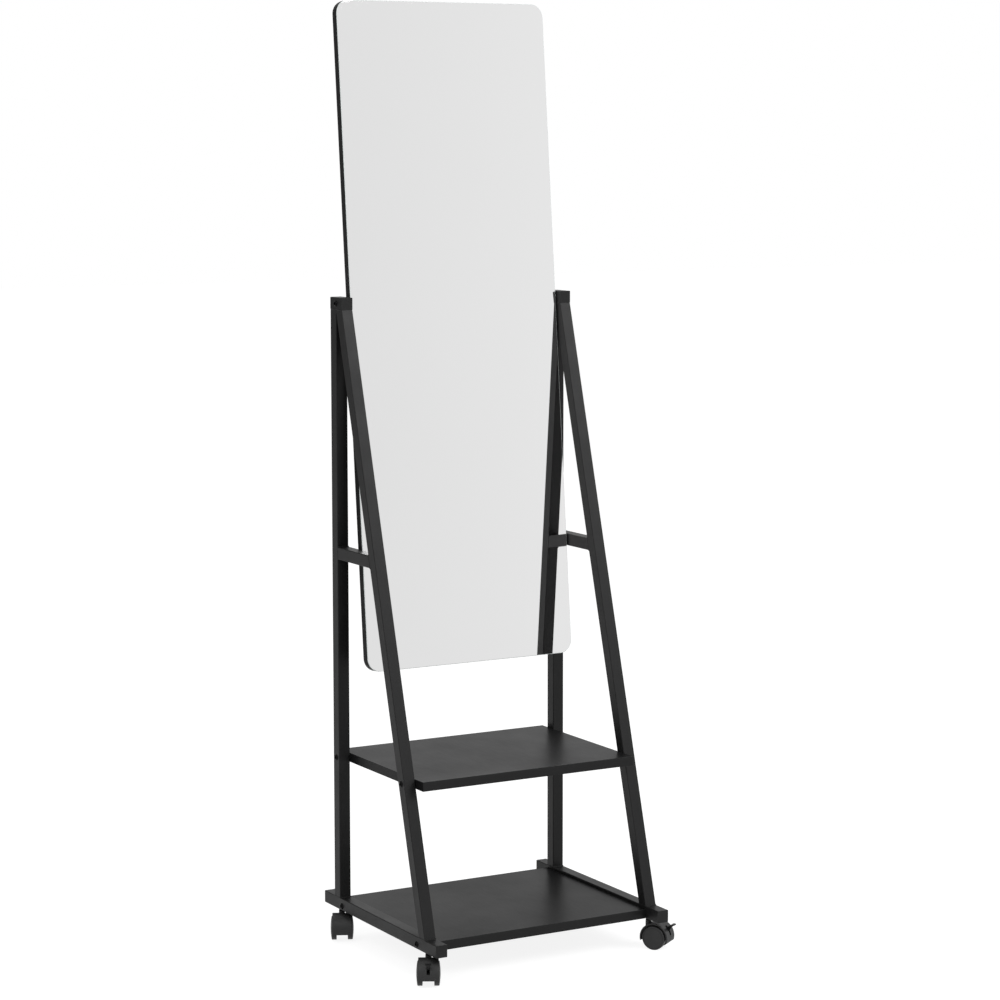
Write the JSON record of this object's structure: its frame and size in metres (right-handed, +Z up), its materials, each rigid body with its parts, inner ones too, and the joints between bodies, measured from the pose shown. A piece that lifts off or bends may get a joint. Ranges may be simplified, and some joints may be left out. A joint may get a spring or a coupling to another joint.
{
  "type": "rolling floor mirror",
  "caption": "Tall frameless mirror that tilts between A-shaped tube side frames with an upper and a lower shelf, on twin-wheel swivel casters, the front ones braked.",
  "frame": {"origin": "on the floor, midway between the outer faces of the side frames and midway along the base rails", "axes": "+X to the right seen from in front of the mirror's face, +Y to the rear, +Z up"},
  "size_m": [0.4761, 0.388, 1.5347],
  "materials": {
    "powder_coat": "fine-textured satin black powder coat",
    "cap_plastic": "matt black polyethylene",
    "shelf_laminate": "satin black laminate on fibreboard",
    "backing_board": "matt black painted fibreboard",
    "silvered_glass": "clear silvered glass with polished edges",
    "black_bolt_steel": "black oxide, satin",
    "insert_brass": "machined",
    "white_nylon": "natural nylon",
    "zinc_steel": "bright zinc plate",
    "caster_nylon": "moulded black nylon, fine matt",
    "wheel_nylon": "moulded black nylon, satin"
  },
  "bodies": {
    "frame": {"left_rear_post": "powder_coat", "left_front_leg": "powder_coat", "left_top_tube": "powder_coat", "left_mid_bar": "powder_coat", "left_base_rail": "powder_coat", "right_rear_post": "powder_coat", "right_front_leg": "powder_coat", "right_top_tube": "powder_coat", "right_mid_bar": "powder_coat", "right_base_rail": "powder_coat", "rail_end_caps": "cap_plastic", "top_end_caps": "cap_plastic", "caster_weld_nuts": "zinc_steel", "upper_shelf": "shelf_laminate", "lower_shelf": "shelf_laminate", "upper_shelf_bolts": "black_bolt_steel", "lower_shelf_bolts": "black_bolt_steel", "upper_shelf_inserts": "insert_brass", "lower_shelf_inserts": "insert_brass", "pivot_bushes": "white_nylon", "rear_left_caster_stem": "black_bolt_steel", "rear_right_caster_stem": "black_bolt_steel", "front_left_caster_stem": "black_bolt_steel", "front_right_caster_stem": "black_bolt_steel"},
    "mirror": {"mirror_glass": "silvered_glass", "mirror_backing_board": "backing_board", "mirror_inserts": "insert_brass", "pivot_spacers": "white_nylon", "pivot_bolts": "black_bolt_steel"},
    "rear_left_caster": {"rear_left_caster_hood": "caster_nylon", "rear_left_caster_axle": "zinc_steel"},
    "rear_left_left_wheel": {"rear_left_caster_left_wheel": "wheel_nylon"},
    "rear_left_right_wheel": {"rear_left_caster_right_wheel": "wheel_nylon"},
    "rear_right_caster": {"rear_right_caster_hood": "caster_nylon", "rear_right_caster_axle": "zinc_steel"},
    "rear_right_left_wheel": {"rear_right_caster_left_wheel": "wheel_nylon"},
    "rear_right_right_wheel": {"rear_right_caster_right_wheel": "wheel_nylon"},
    "front_left_caster": {"front_left_caster_hood": "caster_nylon", "front_left_caster_axle": "zinc_steel", "front_left_brake_pin": "zinc_steel"},
    "front_left_left_wheel": {"front_left_caster_left_wheel": "wheel_nylon"},
    "front_left_right_wheel": {"front_left_caster_right_wheel": "wheel_nylon"},
    "front_left_brake_lever": {"front_left_brake_lever": "caster_nylon"},
    "front_right_caster": {"front_right_caster_hood": "caster_nylon", "front_right_caster_axle": "zinc_steel", "front_right_brake_pin": "zinc_steel"},
    "front_right_left_wheel": {"front_right_caster_left_wheel": "wheel_nylon"},
    "front_right_right_wheel": {"front_right_caster_right_wheel": "wheel_nylon"},
    "front_right_brake_lever": {"front_right_brake_lever": "caster_nylon"}
  },
  "joints": [
    {"name": "mirror_tilt", "type": "hinge", "parent": "frame", "child": "mirror", "pos_m": [0, 0.1375, 1.049], "axis": [1, 0, 0], "continuous": true},
    {"name": "rear_left_swivel", "type": "hinge", "parent": "frame", "child": "rear_left_caster", "pos_m": [-0.204, 0.151, 0.05], "axis": [0, 0, 1], "continuous": true},
    {"name": "rear_left_left_wheel_spin", "type": "hinge", "parent": "rear_left_caster", "child": "rear_left_left_wheel", "pos_m": [-0.21058, 0.13752, 0.0195], "axis": [0.8988, -0.4384, 0], "continuous": true},
    {"name": "rear_left_right_wheel_spin", "type": "hinge", "parent": "rear_left_caster", "child": "rear_left_right_wheel", "pos_m": [-0.21058, 0.13752, 0.0195], "axis": [0.8988, -0.4384, 0], "continuous": true},
    {"name": "rear_right_swivel", "type": "hinge", "parent": "frame", "child": "rear_right_caster", "pos_m": [0.204, 0.151, 0.05], "axis": [0, 0, 1], "continuous": true},
    {"name": "rear_right_left_wheel_spin", "type": "hinge", "parent": "rear_right_caster", "child": "rear_right_left_wheel", "pos_m": [0.19719, 0.13764, 0.0195], "axis": [0.891, -0.454, 0], "continuous": true},
    {"name": "rear_right_right_wheel_spin", "type": "hinge", "parent": "rear_right_caster", "child": "rear_right_right_wheel", "pos_m": [0.19719, 0.13764, 0.0195], "axis": [0.891, -0.454, 0], "continuous": true},
    {"name": "front_left_swivel", "type": "hinge", "parent": "frame", "child": "front_left_caster", "pos_m": [-0.204, -0.151, 0.05], "axis": [0, 0, 1], "continuous": true},
    {"name": "front_left_left_wheel_spin", "type": "hinge", "parent": "front_left_caster", "child": "front_left_left_wheel", "pos_m": [-0.21127, -0.16412, 0.0195], "axis": [0.8746, -0.4848, 0], "continuous": true},
    {"name": "front_left_right_wheel_spin", "type": "hinge", "parent": "front_left_caster", "child": "front_left_right_wheel", "pos_m": [-0.21127, -0.16412, 0.0195], "axis": [0.8746, -0.4848, 0], "continuous": true},
    {"name": "front_left_brake", "type": "hinge", "parent": "front_left_caster", "child": "front_left_brake_lever", "pos_m": [-0.2137, -0.16849, 0.0305], "axis": [0.8746, -0.4848, 0], "range_deg": [0, 18]},
    {"name": "front_right_swivel", "type": "hinge", "parent": "frame", "child": "front_right_caster", "pos_m": [0.204, -0.151, 0.05], "axis": [0, 0, 1], "continuous": true},
    {"name": "front_right_left_wheel_spin", "type": "hinge", "parent": "front_right_caster", "child": "front_right_left_wheel", "pos_m": [0.2126, -0.16329, 0.0195], "axis": [0.8192, 0.5736, 0], "continuous": true},
    {"name": "front_right_right_wheel_spin", "type": "hinge", "parent": "front_right_caster", "child": "front_right_right_wheel", "pos_m": [0.2126, -0.16329, 0.0195], "axis": [0.8192, 0.5736, 0], "continuous": true},
    {"name": "front_right_brake", "type": "hinge", "parent": "front_right_caster", "child": "front_right_brake_lever", "pos_m": [0.21547, -0.16738, 0.0305], "axis": [0.8192, 0.5736, 0], "range_deg": [0, 18]}
  ]
}
